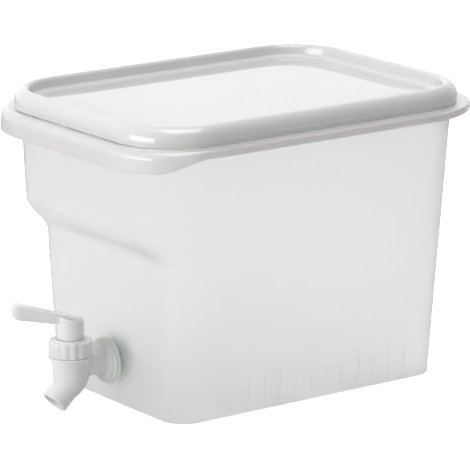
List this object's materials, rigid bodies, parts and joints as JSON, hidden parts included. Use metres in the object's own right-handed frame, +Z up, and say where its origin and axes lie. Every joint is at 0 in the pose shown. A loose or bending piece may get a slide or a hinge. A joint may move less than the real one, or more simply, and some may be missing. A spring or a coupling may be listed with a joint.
{
  "type": "drink dispenser",
  "caption": "Refrigerator drink dispenser: a tall tapered tub with a stepped front and a rim that turns down as a hand grip, a snap-over lid and a small lever tap low on the front.",
  "frame": {"origin": "on the flat underside of the tub, under the middle of the whole dispenser's length", "axes": "+Z up, the tap and the hand grip face -Y, X across the dispenser"},
  "size_m": [0.2148, 0.3091, 0.2],
  "materials": {
    "frosted_plastic": "frosted, lets light through",
    "lid_plastic": "satin off-white",
    "tap_plastic": "soft gloss white",
    "natural_plastic": "natural, uncoloured",
    "seal_rubber": "soft white"
  },
  "bodies": {
    "base": {"container": "frosted_plastic", "tap_body": "tap_plastic", "tap_collar": "tap_plastic", "outer_washer": "seal_rubber", "inner_washer": "seal_rubber", "lock_nut": "natural_plastic"},
    "lid": {"lid": "lid_plastic"},
    "lever": {"tap_lever": "tap_plastic", "tap_plug": "natural_plastic", "plug_seal": "seal_rubber"}
  },
  "joints": [
    {"name": "lid_lift", "type": "slide", "parent": "base", "child": "lid", "axis": [0, 0, 1], "range_m": [0, 0.12]},
    {"name": "lever_turn", "type": "hinge", "parent": "base", "child": "lever", "pos_m": [0, -0.1192, 0.0481], "axis": [0, 0, -1], "range_deg": [-26, 64]}
  ]
}
